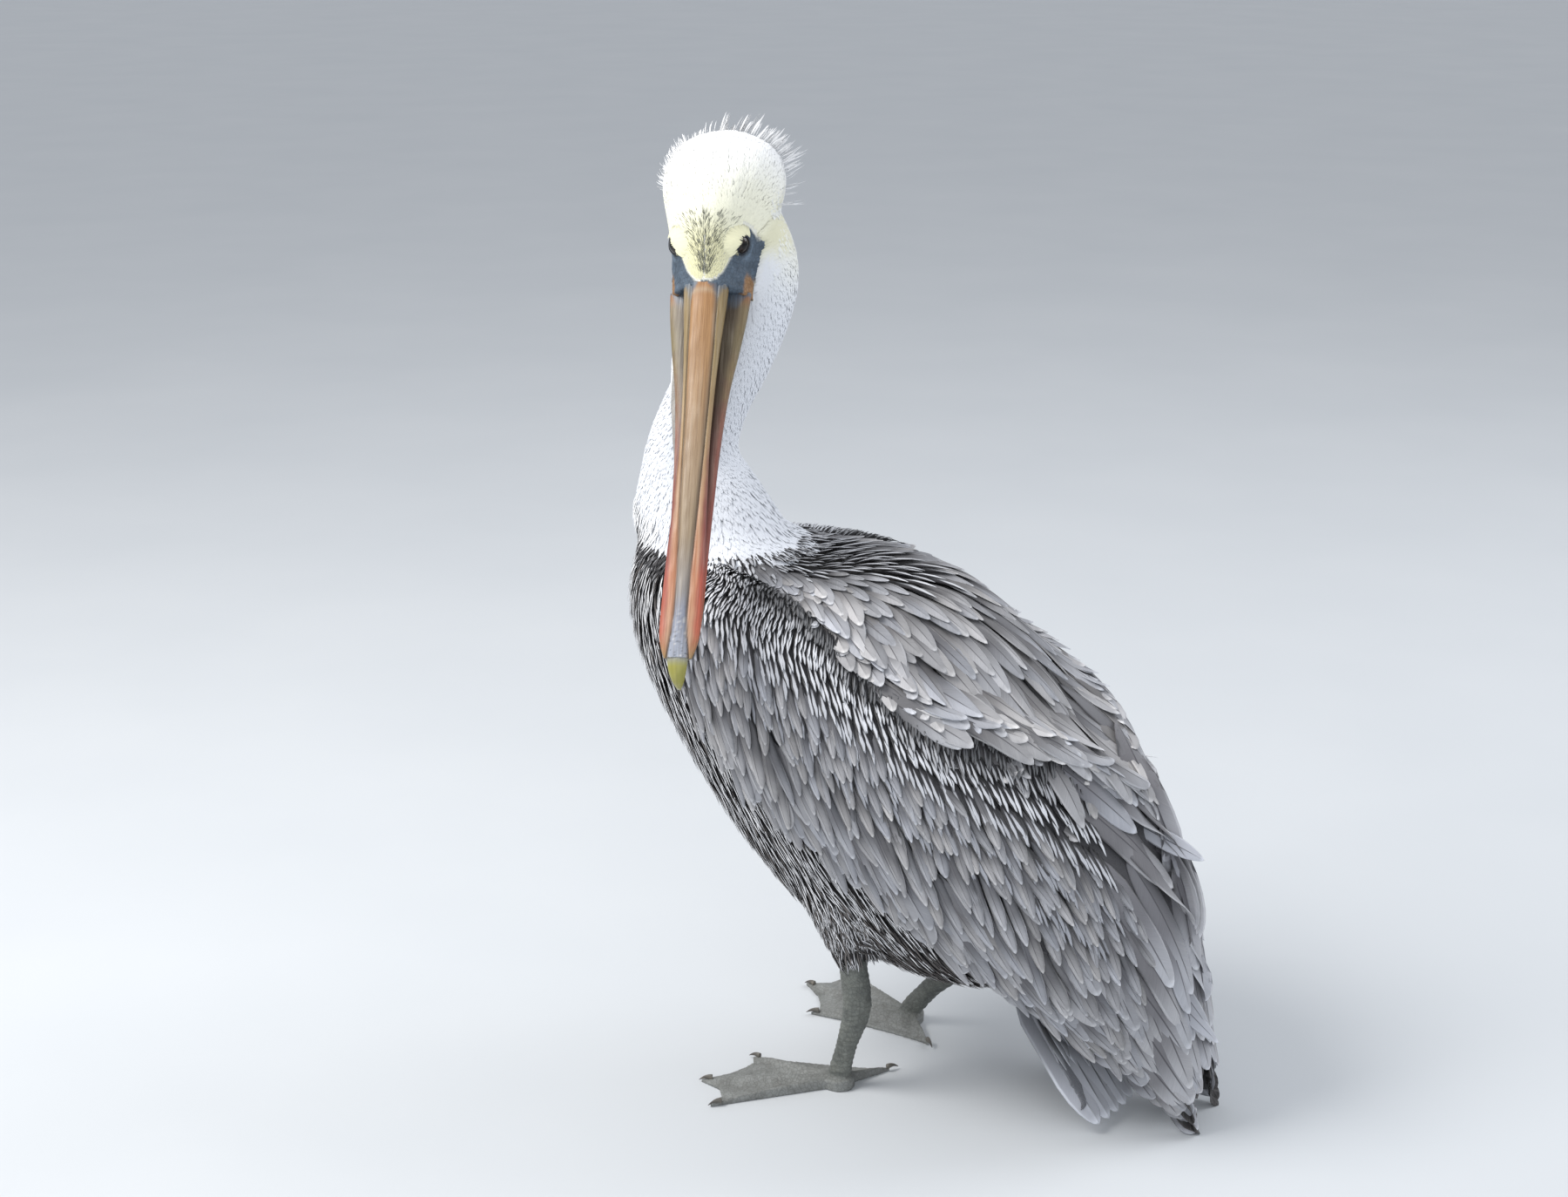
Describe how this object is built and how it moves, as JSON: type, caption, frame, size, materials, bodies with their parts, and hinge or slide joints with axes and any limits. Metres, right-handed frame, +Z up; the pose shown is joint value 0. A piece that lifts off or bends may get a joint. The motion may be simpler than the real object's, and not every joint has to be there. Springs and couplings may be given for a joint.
{
  "type": "brown pelican",
  "caption": "Brown pelican in winter plumage standing at rest with folded wings, its head turned back to the left and its long pouched bill laid down along the breast.",
  "frame": {"origin": "on the floor under the middle of the bounding box", "axes": "+Z up from the soles; the body heads towards -Y, the bird's left side is +X and the bill points down to +X"},
  "size_m": [0.3161, 0.4688, 0.7077],
  "materials": {
    "white_plumage": "soft matt feather",
    "crown_plumage": "soft matt feather, pale yellow",
    "breast_plumage": "soft matt feather, dark brown with pale streaks",
    "grey_plumage": "silver-grey feather with pale edges",
    "wing_tip_plumage": "dusky flight feather",
    "bill_horn": "satin horn",
    "bill_nail": "satin horn, yellow-green",
    "pouch_skin": "thin bare skin, matt",
    "leg_skin": "scaly skin, matt",
    "eye": "wet gloss"
  },
  "bodies": {
    "root": {"trunk": "breast_plumage", "neck_lower": "white_plumage", "neck_upper": "white_plumage", "head": "crown_plumage", "eye_left": "eye", "eye_right": "eye", "bill_upper": "bill_horn", "bill_lower": "bill_horn", "bill_nail": "bill_nail", "throat_pouch": "pouch_skin", "tail": "grey_plumage", "wing_left": "grey_plumage", "wing_right": "grey_plumage", "wing_tip_left": "wing_tip_plumage", "wing_tip_right": "wing_tip_plumage", "foot_left": "leg_skin", "foot_right": "leg_skin", "tarsus_left": "leg_skin", "tarsus_right": "leg_skin", "thigh_left": "breast_plumage", "thigh_right": "breast_plumage"}
  },
  "joints": []
}
